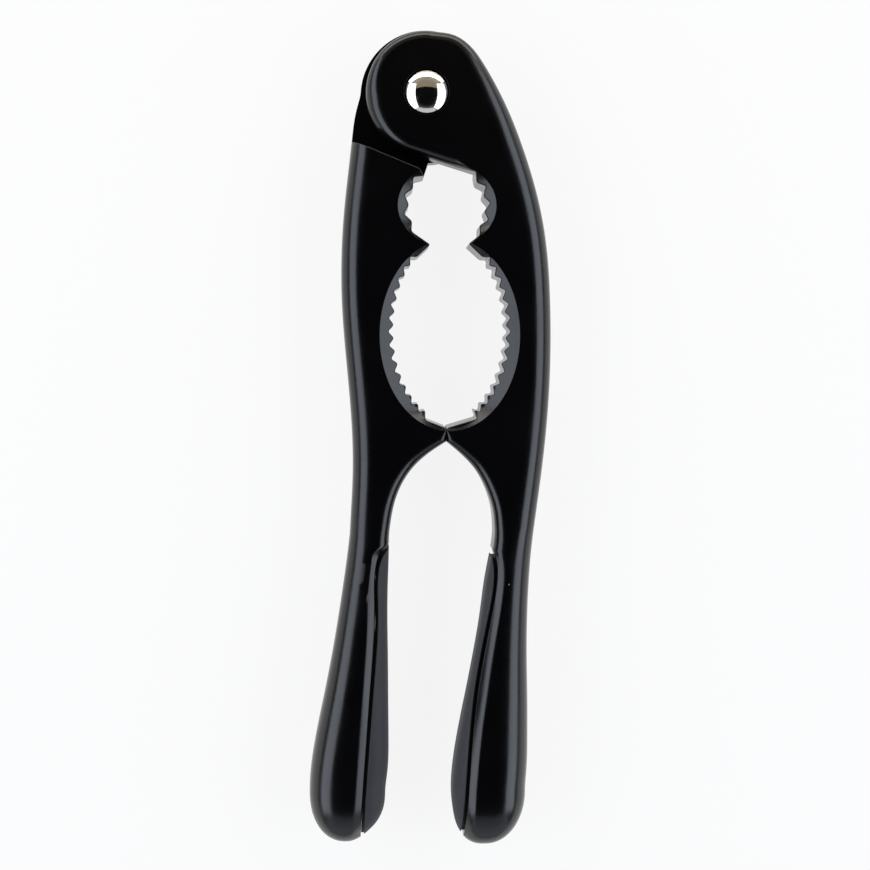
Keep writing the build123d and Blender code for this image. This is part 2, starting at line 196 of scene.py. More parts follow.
# %% Softboxes and world
AIM = Vector((0.004, -0.085, 0.008))
SOFTBOXES = {               # place in metres, size across and along, radiance, colour
    "left_panel": ((-0.33, -0.085, 0.205), (0.24, 0.70), 2.9, "#e8effc"),
    "right_panel": ((0.34, -0.085, 0.205), (0.24, 0.70), 2.9, "#e8effc"),
    "far_panel": ((0.0, 0.34, 0.10), (0.86, 0.13), 4.0, "#fff6ea"),
    "warm_card": ((0.0, 0.21, 0.25), (0.56, 0.22), 0.5, "#c9bda6"),
    "near_card": ((0.0, -0.45, 0.16), (0.60, 0.26), 0.6, "#eef2ff"),
}


def add_softbox(name, place, size, radiance, colour):
    """A rectangular lamp aimed at the tool. Its power is radiance times area times pi."""
    lamp = bpy.data.lights.new(name, "AREA")
    lamp.shape = "RECTANGLE"
    lamp.size, lamp.size_y = size
    lamp.energy = radiance * size[0] * size[1] * math.pi
    lamp.color = linear(colour)[:3]
    box = bpy.data.objects.new(name, lamp)
    bpy.context.collection.objects.link(box)
    sight = (AIM - Vector(place)).normalized()
    upright = (0, 1, 0) if abs(place[0]) > abs(place[1]) else (0, 0, 1)
    side = sight.cross(Vector(upright)).normalized()
    turned_to = Matrix((side, side.cross(sight), -sight)).transposed()
    box.matrix_world = Matrix.Translation(place) @ turned_to.to_4x4()
    box.visible_camera = False
    return lamp.energy


for name, (place, size, radiance, colour) in SOFTBOXES.items():
    print(name, round(add_softbox(name, place, size, radiance, colour), 3), "W")

HORIZON_FILL, ZENITH_DARK = 0.25, 0.006     # brightness of the room low down and straight up
FILL_ENDS, DARK_BEGINS = 0.35, 0.75         # sine of the heights between which it changes
world = bpy.data.worlds.new("studio")
bpy.context.scene.world = world
world.use_nodes = True
sky = world.node_tree
sky.nodes.clear()
direction = add_node(sky, "ShaderNodeTexCoord").outputs["Generated"]
height = add_node(sky, "ShaderNodeSeparateXYZ", Vector=direction).outputs["Z"]
fill = add_node(sky, "ShaderNodeMapRange", {"interpolation_type": "SMOOTHSTEP"}, Value=height,
                From_Min=FILL_ENDS, From_Max=DARK_BEGINS, To_Min=HORIZON_FILL, To_Max=ZENITH_DARK)
room = add_node(sky, "ShaderNodeBackground", Color=linear("#d5deea"), Strength=fill.outputs["Result"])
add_node(sky, "ShaderNodeOutputWorld", Surface=room.outputs[0])

bpy.context.scene.view_settings.view_transform = "Standard"

# %% [markdown]
# ## Materials
# Each finish starts from what the real one is. The patterns read Object coordinates, in metres, so a
# pattern's scale is one over the size of its grain. `grain` works that out from millimetres.

# %% Pattern sizes


def grain(millimetres):
    """Texture scale whose features are about this many millimetres across."""
    return 1 / (millimetres * MM)


print("a 1 mm grain has scale", grain(1))

# %% [markdown]
# ### Satin black coating on die-cast zinc
# The arms are cast, tumbled and sprayed. Sprayed paint levels out but keeps a faint orange peel, which
# softens the edges of the lamps' reflections. A few specks of dust show on a surface this dark.

# %% Coating
COATING_PEEL = 0.9          # mm, width of the waves that the spray leaves
COATING_PEEL_HEIGHT = 0.04  # mm, more than the real one, so that it shows
COATING_CLOUD = 14.0        # mm, patches where the coat dried a little duller
DUST_SPACING = 5.0          # mm
DUST_RADIUS = 0.035         # share of the spacing
DUST_FROM = 0.72            # of the cells, those whose random value is above this hold a speck


def sprayed_coating():
    material, tree, output, place = new_material("satin_black_sprayed_coating")
    dots = add_node(tree, "ShaderNodeTexVoronoi", {"feature": "F1"}, Vector=place,
                    Scale=grain(DUST_SPACING))
    chosen = add_node(tree, "ShaderNodeSeparateColor", Color=dots.outputs["Color"])
    radius = mapped(tree, chosen.outputs["Red"], 0.0, DUST_RADIUS, DUST_FROM, 1.0)
    speck = add_node(tree, "ShaderNodeMath", {"operation": "LESS_THAN"},
                     _0=dots.outputs["Distance"], _1=radius)
    cloud = noise(tree, place, grain(COATING_CLOUD), 3.0)
    peel = noise(tree, place, grain(COATING_PEEL), 2.0)
    finish_with(tree, output, Base_Color=blend(tree, speck.outputs[0], "#050506", "#85888c"),
                Roughness=mapped(tree, cloud, 0.19, 0.25),
                Normal=bump(tree, peel, 0.35, COATING_PEEL_HEIGHT), IOR=1.5)
    return material


# %% [markdown]
# ### Moulded soft-touch rubber
# The inserts are moulded in a spark-eroded tool, whose fine pits give the matte grey look. The real grain
# is about 0.1 mm; it is drawn at 0.3 mm, which is as coarse as it needs to show.

# %% Rubber
RUBBER_GRAIN, RUBBER_GRAIN_HEIGHT = 0.3, 0.04   # mm
RUBBER_CLOUD = 9.0          # mm, patches that are a little lighter or darker


def moulded_rubber():
    material, tree, output, place = new_material("moulded_soft_touch_rubber")
    pits = noise(tree, place, grain(RUBBER_GRAIN), 4.0)
    cloud = noise(tree, place, grain(RUBBER_CLOUD), 2.0)
    finish_with(tree, output, Base_Color=blend(tree, cloud, "#28292c", "#333437"),
                Roughness=mapped(tree, pits, 0.58, 0.72),
                Normal=bump(tree, pits, 0.5, RUBBER_GRAIN_HEIGHT), IOR=1.5)
    return material


# %% [markdown]
# ### Polished nickel on the rivet
# The head is polished before plating, so it mirrors the room. Handling leaves hair-fine rub marks, which
# show only as a faint haze across the mirror.

# %% Nickel
RUB_MARK = 0.4              # mm across a rub mark
RUB_HEADING, RUB_STRETCH = math.radians(35), 0.12   # a mark is 1 / 0.12 times as long as it is wide


def polished_nickel():
    material, tree, output, place = new_material("polished_nickel_plate")
    drawn = add_node(tree, "ShaderNodeMapping", Vector=place, Rotation=(0, 0, RUB_HEADING),
                     Scale=(1.0, RUB_STRETCH, 1.0))
    rubs = noise(tree, drawn.outputs[0], grain(RUB_MARK), 5.0)
    finish_with(tree, output, Base_Color=linear("#e2dcd2"), Metallic=1.0,
                Roughness=mapped(tree, rubs, 0.05, 0.14, 0.35, 0.75))
    return material


# %% [markdown]
# ### Nylon and zinc-plated steel for the two washers
# The lap washer is punched from natural nylon, milky and slightly waxy. The rear washer is stamped steel,
# barrel plated with zinc, which leaves a cool grey with small random scuffs.

# %% Washer materials
NYLON_CLOUD = 1.5           # mm
SCUFF, SCUFF_HEIGHT = 0.4, 0.02     # mm


def natural_nylon():
    material, tree, output, place = new_material("natural_nylon_sheet")
    milk = noise(tree, place, grain(NYLON_CLOUD), 3.0)
    finish_with(tree, output, Base_Color=blend(tree, milk, "#c9c7bb", "#dedcd2"), Roughness=0.45, IOR=1.53)
    return material


def plated_steel():
    material, tree, output, place = new_material("zinc_plated_stamped_steel")
    scuffs = noise(tree, place, grain(SCUFF), 6.0)
    finish_with(tree, output, Base_Color=linear("#c3c6c9"), Metallic=1.0,
                Roughness=mapped(tree, scuffs, 0.24, 0.42), Normal=bump(tree, scuffs, 0.2, SCUFF_HEIGHT))
    return material


FINISHES = {
    "arm_black": sprayed_coating(),
    "grip_soft": moulded_rubber(),
    "rivet_polished": polished_nickel(),
    "lap_washer_plastic": natural_nylon(),
    "washer_steel": plated_steel(),
}
NODE_SLOTS = {part["node"]: part["material_slot"] for part in frame["record"]["subparts"]}


def dress(piece, node):
    """Gives a piece the finish that the record names for its node."""
    piece.data.materials.clear()
    piece.data.materials.append(FINISHES[NODE_SLOTS[node]])


print("finishes", sorted(FINISHES))

# %% [markdown]
# ## Curves and surfaces with numpy
# The arms are cast shapes with long smooth flanks, so their outlines are cubic splines through a few
# measured points. A spline is one small linear system that finds bends for which the slope never jumps.
# Lengths in this part are in millimetres, and are turned to metres at the very end.

# %% Splines


def spline_at(knots, values, where, first=None, last=None):
    """Cubic spline: on each stretch a cubic whose second derivatives at the knots solve one linear system
    that keeps the slope continuous. first and last are end slopes; without them the end isn't bent."""
    step = np.diff(knots)
    slope = np.diff(values, axis=0) / step[:, None]
    size = len(knots)
    system, known = np.zeros((size, size)), np.zeros((size, values.shape[1]))
    inner = np.arange(1, size - 1)
    system[inner, inner - 1] = step[:-1]
    system[inner, inner] = 2 * (step[:-1] + step[1:])
    system[inner, inner + 1] = step[1:]
    known[inner] = 6 * np.diff(slope, axis=0)
    system[0, 0] = system[-1, -1] = 1
    if first is not None:
        system[0, :2] = 2 * step[0], step[0]
        known[0] = 6 * (slope[0] - first)
    if last is not None:
        system[-1, -2:] = step[-1], 2 * step[-1]
        known[-1] = 6 * (last - slope[-1])
    bend = np.linalg.solve(system, known)
    k = np.clip(np.searchsorted(knots, where, side="right") - 1, 0, size - 2)
    b = ((where - knots[k]) / step[k])[:, None]
    a = 1 - b
    return a * values[k] + b * values[k + 1] + ((a ** 3 - a) * bend[k] + (b ** 3 - b) * bend[k + 1]) * (
        step[k, None] ** 2) / 6


def chords(points):
    """Distance from the first point to each point, along straight lines between them."""
    return np.concatenate([[0], np.cumsum(np.linalg.norm(np.diff(points, axis=0), axis=1))])


def unit(vector):
    return np.asarray(vector, float) / np.linalg.norm(vector)


def on_circle(radius, degrees):
    a = np.radians(degrees)
    return np.stack([radius * np.cos(a), radius * np.sin(a)], -1)


hill = spline_at(np.arange(3.0), np.array([[0.0], [1.0], [0.0]]), np.array([0.5]))
print("a spline through 0, 1, 0 is", hill[0, 0], "at a quarter of its length")

# %% [markdown]
# ## From surfaces to one closed mesh
# Each arm is put together from sheets: strips round its edges, faces, walls and the handle's skin.
# Neighbouring sheets share their border points, so merging doubles closes them to one skin. A face with a
# toothed edge is filled with Delaunay triangles.

# %% Sheets, filling and merging
MERGE = 0.004               # mm, points closer than this are one
SHARP_ANGLE = math.radians(24)


def sheet_faces(rows, columns, closed=False):
    """Quads between neighbouring rows and columns of a grid whose points are counted row by row."""
    i, j = np.meshgrid(np.arange(rows - 1), np.arange(columns if closed else columns - 1), indexing="ij")
    after = (j + 1) % columns
    row, below = i * columns, (i + 1) * columns
    return np.stack([row + j, row + after, below + after, below + j], -1).reshape(-1, 4)


def inside(points, loop):
    """Even-odd rule: a point is inside when a ray to the right of it crosses the loop an odd number of
    times."""
    a, b = loop, np.roll(loop, -1, axis=0)
    x, y = points[:, 0, None], points[:, 1, None]
    spans = (a[None, :, 1] > y) != (b[None, :, 1] > y)
    run = np.where(a[:, 1] == b[:, 1], 1, b[:, 1] - a[:, 1])
    crossing = a[None, :, 0] + (y - a[None, :, 1]) * (b[:, 0] - a[:, 0])[None] / run[None]
    return (np.sum(spans & (x < crossing), axis=1) % 2) == 1


def fill(loop, holes=(), creases=()):
    """Delaunay triangles inside a loop and outside its holes, with edges along the creases."""
    chains = [(np.asarray(c), True) for c in (loop, *holes)] + [(np.asarray(c), False) for c in creases]
    points, edges, start = [], [], 0
    for chain, closed in chains:
        count = len(chain)
        points.append(chain)
        edges += [(start + i, start + (i + 1) % count) for i in range(count if closed else count - 1)]
        start += count
    flat = np.concatenate(points)
    found = delaunay_2d_cdt([Vector(p) for p in flat], edges, [], 0, MERGE / 10)
    corners = np.array([v[:] for v in found[0]])
    faces = np.array(found[2])
    middle = corners[faces].mean(axis=1)
    kept = inside(middle, np.asarray(loop))
    for hole in holes:
        kept &= ~inside(middle, np.asarray(hole))
    return corners, faces[kept]


def make_piece(name, sheets, node, body):
    """Joins sheets of points and faces in millimetres to one closed mesh in metres, facing outwards."""
    points, faces, start = [], [], 0
    for corners, polygons in sheets:
        corners = np.asarray(corners, float).reshape(-1, 3)
        points.append(corners)
        faces += [[start + c for c in polygon] for polygon in np.asarray(polygons).tolist()]
        start += len(corners)
    mesh = bpy.data.meshes.new(name)
    mesh.from_pydata((np.concatenate(points) * MM).tolist(), [], faces)
    shell = bmesh.new()
    shell.from_mesh(mesh)
    bmesh.ops.remove_doubles(shell, verts=shell.verts, dist=MERGE * MM)
    bmesh.ops.dissolve_degenerate(shell, edges=shell.edges, dist=MERGE * MM / 10)
    bmesh.ops.recalc_face_normals(shell, faces=shell.faces)
    if shell.calc_volume(signed=True) < 0:
        bmesh.ops.reverse_faces(shell, faces=shell.faces)
    open_edges = sum(not edge.is_manifold for edge in shell.edges)
    shell.to_mesh(mesh)
    shell.free()
    mesh.shade_smooth()
    mesh.set_sharp_from_angle(angle=SHARP_ANGLE)
    piece = bpy.data.objects.new(name, mesh)
    bpy.context.collection.objects.link(piece)
    even = piece.modifiers.new("flats_stay_flat", "WEIGHTED_NORMAL")
    even.mode = "FACE_AREA"
    even.keep_sharp = True
    dress(piece, node)
    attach(piece, body)
    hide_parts(node)
    print(name, len(mesh.polygons), "faces,", open_edges, "open edges")


# %% [markdown]
# ## Measures of the tool
# These repeat the measured model in millimetres. The height of the arms' middle plane comes from the
# loaded model itself.

# %% Measures
MIDDLE = sum(corner[2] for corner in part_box("left_grip_insert")) / 2 / MM
HALF = 6.5                  # half the thickness of the jaws
LAP = 0.3                   # each lug's lap face lies this far past the middle plane
FLANK_ROUND = 5.5           # the soft outer edges
ARCH_ROUND = 3.0
NOSE_ROUND = 2.0
TOOTH_ROUND = 0.25
STEP_ROUND = 0.3
ARCH_START = 1.5            # the nose's rounded corner takes this much of the arch
TOOTH_CORNER = 0.6          # how much of each side a rounded tooth corner takes

STEP_DISTANCE = 17.1        # from the pivot square to either step
NECK_Y = -104.0
TOOTH_DEPTH = 1.4
NOSE_X, NOSE_GAP, NOSE_TOP, NOSE_BOTTOM = 4.75, 0.1, -79.5, -82.9
LARGE_HOLE = {"centre": (5.55, -56.0), "radii": (13.4, 21.4), "tips": 15}
SMALL_HOLE = {"centre": (4.85, -26.5), "radii": (9.0, 9.0), "tips": 4}
LARGE_DISH = {"centre": (5.55, -57.3), "radii": (13.4, 21.4), "flare": (3.4, 1.5)}
SMALL_DISH = {"centre": (4.85, -26.5), "radii": (9.0, 9.0), "flare": (2.7, 0.8)}
DISH_DEPTH = 1.9
HEAD_RECESS, HEAD_RECESS_DEPTH, RECESS_EDGE = 5.3, 0.6, 0.12
BORE = 2.55

ARMS = {
    "left": {
        "side": -1, "body": "left_lever", "step_angle": 247.8,
        "flank": [(-18.7, NECK_Y), (-18.0, -90), (-18.85, -70), (-20.4, -50), (-20.0, -30)],
        "shoulder": [(211.6, 5.3), (188.6, 1.0)], "lug": (176, -88), "lug_radius": 15.7,
        "small_first": 128, "small_pitch": 25, "large_tips": (126, 244),
        "cusp": (0.9, -35.7), "nose": (-0.3, -77.6), "step_corner": -1.0,
        "arch": [(1.5, -85), (-3.9, -90), (-6.8, -95), (-8.3, -100), (-8.95, NECK_Y)],
        "lug_round": ([-88, 60, 120, 176], [2.5, 2.5, 2.6, 4.0]),
        "flank_round": ([-9, 0], [FLANK_ROUND, 4.0]), "lug_edge_round": STEP_ROUND,
        "stations": [(-109, -19.2, -9.2, 6.4), (-117, -20.3, -9.45, 6.45), (-127, -21.85, -9.6, 6.7),
                     (-137, -23.6, -9.5, 7.2), (-147, -25.6, -9.45, 7.8), (-157, -27.65, -9.4, 8.25),
                     (-165, -28.85, -9.7, 8.43), (-171, -29.15, -10.3, 8.48)],
        "tip": (-19.7, -183.2), "fullness": (0.8, 1.2, 0.8),
        "seam": [(-8.0, -107.3), (-10.9, -109.6), (-12.3, -113.5), (-12.6, -123), (-13.7, -143),
                 (-15.0, -160), (-15.8, -171), (-16.6, -185)],
    },
    "right": {
        "side": 1, "body": "right_lever", "step_angle": 280,
        "flank": [(26.7, NECK_Y), (28.5, -90), (30.2, -70), (30.3, -50), (28.4, -30), (24.4, -15)],
        "shoulder": [(0.0, 3.7), (25.7, 1.2), (45.0, 0.95), (65.0, 0.7)],
        "lug": (85, 257), "lug_radius": 14.4,
        "small_first": 38, "small_pitch": -22.6, "large_tips": (54, -64),
        "cusp": (9.95, -35.5), "nose": (12.2, -77.3), "step_corner": 0.2,
        "arch": [(7.3, -85), (12.0, -90), (14.7, -95), (16.2, -100), (16.6, NECK_Y)],
        "lug_round": ([85, 140, 185, 230, 257], [2.2, 2.2, 4.0, 3.4, 2.8]),
        "flank_round": ([-10, 0, 8, 13, 15.6], [FLANK_ROUND, 4.8, 3.6, 2.6, 2.2]), "lug_edge_round": 2.6,
        "stations": [(-109, 26.15, 16.3, 6.4), (-117, 25.55, 14.8, 6.45), (-127, 25.15, 13.4, 6.7),
                     (-137, 25.1, 11.7, 7.2), (-147, 25.3, 9.8, 7.8), (-157, 25.36, 7.9, 8.25),
                     (-165, 25.2, 6.7, 8.43), (-171, 24.85, 6.3, 8.48)],
        "tip": (14.9, -184.4), "fullness": (0.95, 0.62, 0.8),
        "seam": [(14.2, -107.3), (16.5, -110.2), (17.2, -114.5), (16.1, -124), (12.6, -143.5),
                 (10.8, -160), (10.1, -170), (8.9, -186)],
    },
}
RIGHT_STEP_DROP = 0.5       # the right step's corner lies this far below the lug's edge
print("middle plane", round(MIDDLE, 3), "mm above the table")

# %% [markdown]
# ## The toothed line
# Each jaw bites with triangular teeth whose tips lie on an ellipse. Between the two holes the line comes
# to a cusp. The teeth are cast, so every corner is cut by a little curve.

# %% Teeth
CORNER_STEPS = 6
CORNER_SHARE = 0.45         # a corner's cut takes at most this share of either side
ROUNDING_SHARE = 0.8        # an edge's rounding takes at most this share of the line's own radius
NO_TURN = 1e-9              # keeps the radius of a straight line finite
TIP_TO_VALLEY = 0.5         # in steps from tip to tip


def teeth(hole, first, last):
    """Tips on the hole's ellipse at equal steps of its parameter, and valleys halfway, grown outwards."""
    pitch = (last - first) / (hole["tips"] - 1)
    place = np.arange(-1, 2 * hole["tips"]) * TIP_TO_VALLEY
    grow = np.where(place % 1 == 0, 0, TOOTH_DEPTH)
    radii = np.array(hole["radii"])[None] + grow[:, None]
    return np.array(hole["centre"]) + radii * on_circle(1.0, first + place * pitch)


def toothed_line(arm):
    """Corner points from the lug down to the end of the nose."""
    side = arm["side"]
    small_last = arm["small_first"] + arm["small_pitch"] * (SMALL_HOLE["tips"] - 1)
    small = teeth(SMALL_HOLE, arm["small_first"], small_last)[0 if side > 0 else 1:]
    large = teeth(LARGE_HOLE, *arm["large_tips"])[1:-1]
    face = NOSE_X + side * NOSE_GAP / 2
    nose = [arm["nose"], (face, NOSE_TOP), (face, NOSE_BOTTOM)]
    return np.concatenate([small, [arm["cusp"]], large, nose])


def rounded(corners, cut):
    """Every inner corner becomes a parabola between the points that lie one cut before and after it."""
    before, at, after = corners[:-2], corners[1:-1], corners[2:]
    back, ahead = [np.linalg.norm(run, axis=1)[:, None] for run in (before - at, after - at)]
    reach = np.minimum(cut, CORNER_SHARE * np.minimum(back, ahead))
    a = at + (before - at) / back * reach
    b = at + (after - at) / ahead * reach
    t = np.linspace(0, 1, CORNER_STEPS + 1)[None, :, None]
    curve = (1 - t) ** 2 * a[:, None] + 2 * t * (1 - t) * at[:, None] + t ** 2 * b[:, None]
    return np.concatenate([corners[:1], curve.reshape(-1, 2), corners[-1:]])


def edge_rounding(line):
    """Rounding of a toothed edge, kept below the line's own radius: its step length over its turn."""
    run = np.diff(line, axis=0)
    length = np.linalg.norm(run, axis=1)
    heading = np.unwrap(np.arctan2(run[:, 1], run[:, 0]))
    turn = np.abs(np.diff(heading)) + NO_TURN
    radius = np.minimum(length[:-1], length[1:]) / turn
    radius = np.concatenate([radius[:1], radius, radius[-1:]])
    least = np.minimum.reduce([radius[:-2], radius[1:-1], radius[2:]])
    return np.minimum(TOOTH_ROUND, ROUNDING_SHARE * least)


print("right jaw has", len(toothed_line(ARMS["right"])), "corners")

# %% [markdown]
# ## The dishes round the holes
# Round each hole the faces are dished, so that a nut is gripped on a narrow edge. A dish is a shallow cone
# between two ellipses: the hole's own, full depth, and a wider one, where it runs out.

# %% Dishes
BISECTIONS = 24
DISH_SHARES = (1.0, 0.75, 0.5, 0.25, 0.001)
DISH_DEGREES = np.arange(0, 360, 2.0)
DISH_CLEAR = 0.3            # mm between a dish's line and the border, where triangles would get thin
SHARE_SLACK = 0.01          # the outermost line has a share of just 1 in the other dish too


def ellipse_share(points, dish):
    """0 on the dish's inner ellipse and 1 on its outer one, found by halving the interval."""
    offset = np.abs(points - np.array(dish["centre"]))
    low, high = np.zeros(points.shape[:-1]), np.ones(points.shape[:-1])
    for _ in range(BISECTIONS):
        share = (low + high) / 2
        radii = np.array(dish["radii"]) + share[..., None] * np.array(dish["flare"])
        outside = np.sum((offset / radii) ** 2, axis=-1) > 1
        low, high = np.where(outside, share, low), np.where(outside, high, share)
    return (low + high) / 2


def face_height(points):
    """Height of the jaw's face above the middle plane: flat, less the deeper of the two dishes."""
    shares = [ellipse_share(points, dish) for dish in (LARGE_DISH, SMALL_DISH)]
    return HALF - DISH_DEPTH * (1 - np.minimum(*shares))


def dish_lines(loop):
    """Points along each dish at a few shares of its width, kept where they lie well inside the loop."""
    lines = []
    for dish in (LARGE_DISH, SMALL_DISH):
        for share in DISH_SHARES:
            radii = np.array(dish["radii"]) + share * np.array(dish["flare"])
            ring = np.array(dish["centre"]) + radii * on_circle(1.0, DISH_DEGREES)
            near = np.linalg.norm(ring[:, None] - loop[None], axis=2).min(axis=1)
            kept = inside(ring, loop) & (near > DISH_CLEAR)
            other = SMALL_DISH if dish is LARGE_DISH else LARGE_DISH
            kept &= ellipse_share(ring, other) > share - SHARE_SLACK
            runs = np.split(np.arange(len(ring)), np.flatnonzero(np.diff(kept.astype(int))) + 1)
            lines += [ring[run] for run in runs if kept[run[0]] and len(run) > 1]
    return lines


print("face height at the large hole's edge", face_height(np.array([[19.0, -57.3]])))

# %% [markdown]
# ## The plan of an arm
# At the pivot half of an arm's thickness is cut away for the other arm's lug. So it has two plans. The lug
# plan goes round the lug. The step plan leaves the flank at the step and runs along it to the first tooth.
# Both share the flank below the step, the teeth, the nose and the arch.

# %% Plans
RING_STEPS = 8
TURN = np.linspace(0, math.pi / 2, RING_STEPS + 1)
INSET = 1 - np.cos(TURN)    # how far a quarter round has come in, as a share of its radius
DROP = 1 - np.sin(TURN)     # how far it still lies below the face
FLANK_POINTS, LUG_POINTS, EDGE_POINTS, ARCH_POINTS = 56, 72, 24, 40
NECK_POINTS = 5             # stations across the flat of the neck
SLOPE_RUN = 0.5             # mm of the flank that give its slope at the step


def plan_of(arm):
    """All shared curves of one arm's plan, with the rounding radius at each of their points."""
    side = arm["side"]
    corners = toothed_line(arm)
    radius = arm["lug_radius"]
    start = on_circle(radius, arm["lug"][0])
    through = np.array(arm["flank"] + [tuple(on_circle(radius + out, at)) for at, out in arm["shoulder"]])
    through = np.concatenate([through, start[None]])
    tangent = side * np.array([-start[1], start[0]]) / radius
    knots = chords(through)

    def flank_at(run):
        return spline_at(knots, through, np.atleast_1d(run), unit(through[1] - through[0]), tangent)

    away = on_circle(1.0, arm["step_angle"])        # square to the step, into the full thickness
    along = side * np.array([away[1], -away[0]])    # along the step, from the flank inwards
    low, high = 0.0, knots[-1]
    for _ in range(BISECTIONS):
        middle = (low + high) / 2
        if flank_at(middle)[0] @ away > STEP_DISTANCE:
            low = middle
        else:
            high = middle
    foot = flank_at(low)[0]
    down = unit(flank_at(low - SLOPE_RUN)[0] - foot)
    skew = down / (down @ away)
    edge = foot + skew * STEP_ROUND
    across = side * np.array([down[1], -down[0]])
    run_edge = low - STEP_ROUND * np.linalg.norm(skew)

    angles = np.linspace(*arm["lug"], LUG_POINTS)
    lug = on_circle(radius, angles)
    inner_x = corners[0][0] + arm["step_corner"]
    bend = foot + along * (inner_x - foot[0]) / along[0]
    if side > 0:
        share = RIGHT_STEP_DROP / (corners[0][1] - corners[1][1])
        joint = corners[0] + share * (corners[1] - corners[0])
        before_joint = rounded(np.array([lug[-1], corners[0], joint]), TOOTH_CORNER)[1:-1]
        tooth_path = rounded(np.concatenate([[joint], corners[1:]]), TOOTH_CORNER)
    else:
        joint = corners[0]
        before_joint = np.zeros((0, 2))
        tooth_path = rounded(corners, TOOTH_CORNER)
    lower = flank_at(np.linspace(0, run_edge, FLANK_POINTS))
    lower[-1] = edge
    between = foot + skew * STEP_ROUND * INSET[::-1, None]
    upper = flank_at(np.linspace(low, knots[-1], FLANK_POINTS // 2))
    last = before_joint[0] if side > 0 else joint
    lug_edge = lug[-1] + (last - lug[-1]) * np.linspace(0, 1, EDGE_POINTS)[1:-1, None]
    arch_through = np.concatenate([[corners[-1]], np.array(arm["arch"])])
    arch_knots = chords(arch_through)
    arch_run = np.concatenate([[0], np.linspace(ARCH_START, arch_knots[-1], ARCH_POINTS)])
    arch = spline_at(arch_knots, arch_through, arch_run)
    return {"lower": lower, "between": between, "upper": upper, "lug": lug, "angles": angles,
            "lug_edge": lug_edge, "before_joint": before_joint, "joint": joint, "teeth": tooth_path[1:-1],
            "nose_end": corners[-1], "arch": arch[1:], "arch_run": arch_run[1:],
            "foot": foot, "skew": skew, "bend": bend, "across": along / abs(along @ across)}


plans = {name: plan_of(arm) for name, arm in ARMS.items()}
for name, plan in plans.items():
    print(name, "step runs from", plan["foot"].round(2), "to", plan["bend"].round(2))

# %% [markdown]
# ## Strips round the edges
# A rounded edge is a quarter circle carried along the plan. Each station moves inwards by the radius
# times one minus the cosine, and rises by the sine, so large and small radii use the same rows of points.

# %% Strips
SMOOTH_BEND = 0.99          # cosine of the bend up to which a line counts as smooth
EDGE_TAPER = 0.35           # mm that the lug's edge rounding may grow from one station to the next
NOSE_TO_ARCH = 9            # mm over which the nose's rounding grows to the arch's
TURN_IN = 6                 # stations over which the flank's rows turn into line with the step


def inward(points, side):
    """Direction in which each point of an open line moves inwards. At a corner it is the mitre of the
    normals before and after it. On a smooth curve the nearer neighbour's normal counts more."""
    run = np.diff(points, axis=0)
    length = np.linalg.norm(run, axis=1)[:, None]
    normal = side * np.stack([-run[:, 1], run[:, 0]], -1) / length
    before, after = np.concatenate([normal[:1], normal]), np.concatenate([normal, normal[-1:]])
    behind, ahead = np.concatenate([length[:1], length]), np.concatenate([length, length[-1:]])
    agree = np.sum(before * after, axis=1)[:, None]
    smooth = (before * ahead + after * behind) / (ahead + behind)
    return np.where(agree > SMOOTH_BEND, smooth, (before + after) / (1 + agree))


def strip(points, direction, radius, top=None):
    """Rows of a quarter round: inset by radius (1 - cos), and below the face by radius (1 - sin)."""
    plan = points[:, None] + direction[:, None] * (radius[:, None] * INSET)[..., None]
    face = face_height(plan) if top is None else top[:, None]
    return np.concatenate([plan, (face - radius[:, None] * DROP)[..., None]], axis=-1)


def lift(plan, height):
    """Points of a plan at one height."""
    return np.concatenate([plan, np.full((len(plan), 1), height)], axis=1)


def flip(points, factor):
    """The same points with their height above the middle plane multiplied, as by -1 for the other face."""
    return np.asarray(points) * np.array([1, 1, factor])


def as_sheet(grid, closed=False):
    rows, columns = grid.shape[:2]
    return grid.reshape(-1, 3), sheet_faces(rows, columns, closed)


def wall(upper_line, lower_line):
    """One row of quads between two lines of as many points."""
    return as_sheet(np.stack([upper_line, lower_line]))


def neck_line(outer_point, inner_point):
    """Points across the flat of the neck, between the two inner rows of its edge strips."""
    share = np.linspace(0, 1, NECK_POINTS)[1:-1, None]
    return inner_point + (outer_point - inner_point) * share


def circle(radius, count=64):
    return on_circle(radius, np.linspace(0, 360, count, endpoint=False))


def turned(profile, count=64):
    """A surface of revolution: the profile's radii and heights carried round the pivot axis."""
    profile = np.asarray(profile, float)
    ring = circle(1.0, count)
    grid = np.empty((len(profile), count, 3))
    grid[..., :2] = profile[:, None, :1] * ring[None]
    grid[..., 2] = profile[:, 1, None]
    return as_sheet(grid, closed=True)


